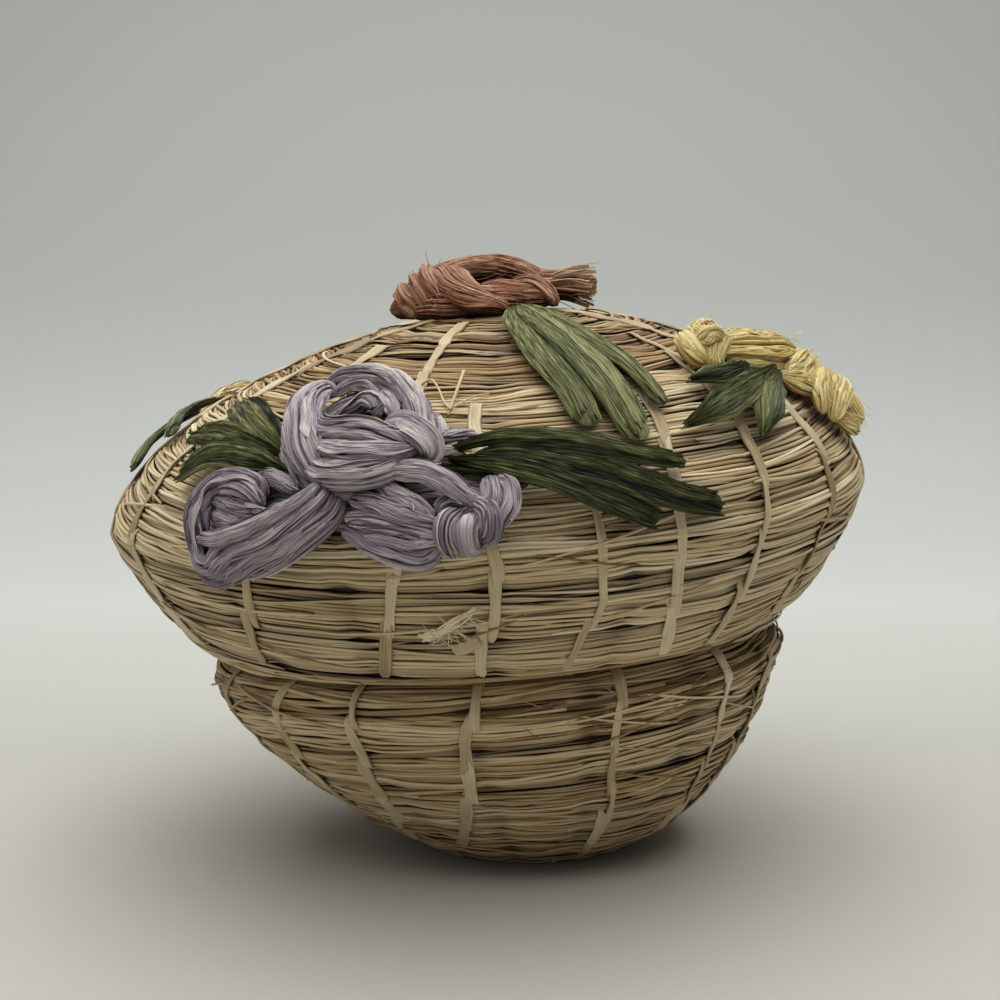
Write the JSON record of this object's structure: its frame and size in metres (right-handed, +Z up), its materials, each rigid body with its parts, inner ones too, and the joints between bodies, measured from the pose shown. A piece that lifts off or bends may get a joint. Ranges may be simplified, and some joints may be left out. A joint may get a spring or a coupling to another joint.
{
  "type": "lidded coiled basket",
  "caption": "Round coiled straw basket with a domed lift-off lid, sewn with rows of split raffia and trimmed with raffia flowers and leaves.",
  "frame": {"origin": "centre of the flat underside of the foot, on the surface that the basket stands on", "axes": "+Z up, the flowers on the front of the lid face -Y, +X to the right seen from the front"},
  "size_m": [0.1895, 0.2039, 0.1496],
  "materials": {
    "straw": "dry split straw stalks in coiled bundles, matt with a slight sheen along each stalk",
    "stitching": "flat split raffia strands, pale, satin",
    "lavender_raffia": "dyed raffia bundles, satin sheen along the fibres",
    "green_raffia": "dyed raffia bundles, satin",
    "coral_raffia": "dyed raffia, dry and fibrous",
    "yellow_raffia": "dyed raffia bundles, satin",
    "cream_raffia": "undyed raffia, satin"
  },
  "bodies": {
    "body": {"body_coil": "straw", "body_stitches_01": "stitching", "body_stitches_02": "stitching", "body_stitches_03": "stitching", "body_stitches_04": "stitching", "body_stitches_05": "stitching", "body_stitches_06": "stitching", "body_stitches_07": "stitching", "body_stitches_08": "stitching", "body_stitches_09": "stitching", "body_stitches_10": "stitching", "body_stitches_11": "stitching", "body_stitches_12": "stitching", "body_stitches_13": "stitching", "body_stitches_14": "stitching", "body_stitches_15": "stitching", "body_stitches_16": "stitching"},
    "lid": {"lid_coil": "straw", "lid_stitches_01": "stitching", "lid_stitches_02": "stitching", "lid_stitches_03": "stitching", "lid_stitches_04": "stitching", "lid_stitches_05": "stitching", "lid_stitches_06": "stitching", "lid_stitches_07": "stitching", "lid_stitches_08": "stitching", "lid_stitches_09": "stitching", "lid_stitches_10": "stitching", "lid_stitches_11": "stitching", "lid_stitches_12": "stitching", "lid_stitches_13": "stitching", "lid_stitches_14": "stitching", "lid_stitches_15": "stitching", "lid_stitches_16": "stitching", "lid_stitches_17": "stitching", "lid_stitches_18": "stitching", "lavender_rosette_upper": "lavender_raffia", "lavender_rosette_left": "lavender_raffia", "lavender_rosette_right": "lavender_raffia", "coral_knot": "coral_raffia", "coral_tuft": "coral_raffia", "yellow_knot": "yellow_raffia", "yellow_roll": "yellow_raffia", "yellow_bud": "yellow_raffia", "cream_flower": "cream_raffia", "lavender_leaf_left_1": "green_raffia", "lavender_leaf_left_2": "green_raffia", "lavender_leaf_left_3": "green_raffia", "lavender_leaf_right_1": "green_raffia", "lavender_leaf_right_2": "green_raffia", "lavender_leaf_right_3": "green_raffia", "coral_leaf_1": "green_raffia", "coral_leaf_2": "green_raffia", "coral_leaf_3": "green_raffia", "yellow_leaf_1": "green_raffia", "yellow_leaf_2": "green_raffia", "yellow_leaf_3": "green_raffia", "cream_leaf_1": "green_raffia", "cream_leaf_2": "green_raffia"}
  },
  "joints": [
    {"name": "lid_lift", "type": "slide", "parent": "body", "child": "lid", "axis": [-0.0698, 0, 0.9976], "range_m": [0, 0.09]}
  ]
}
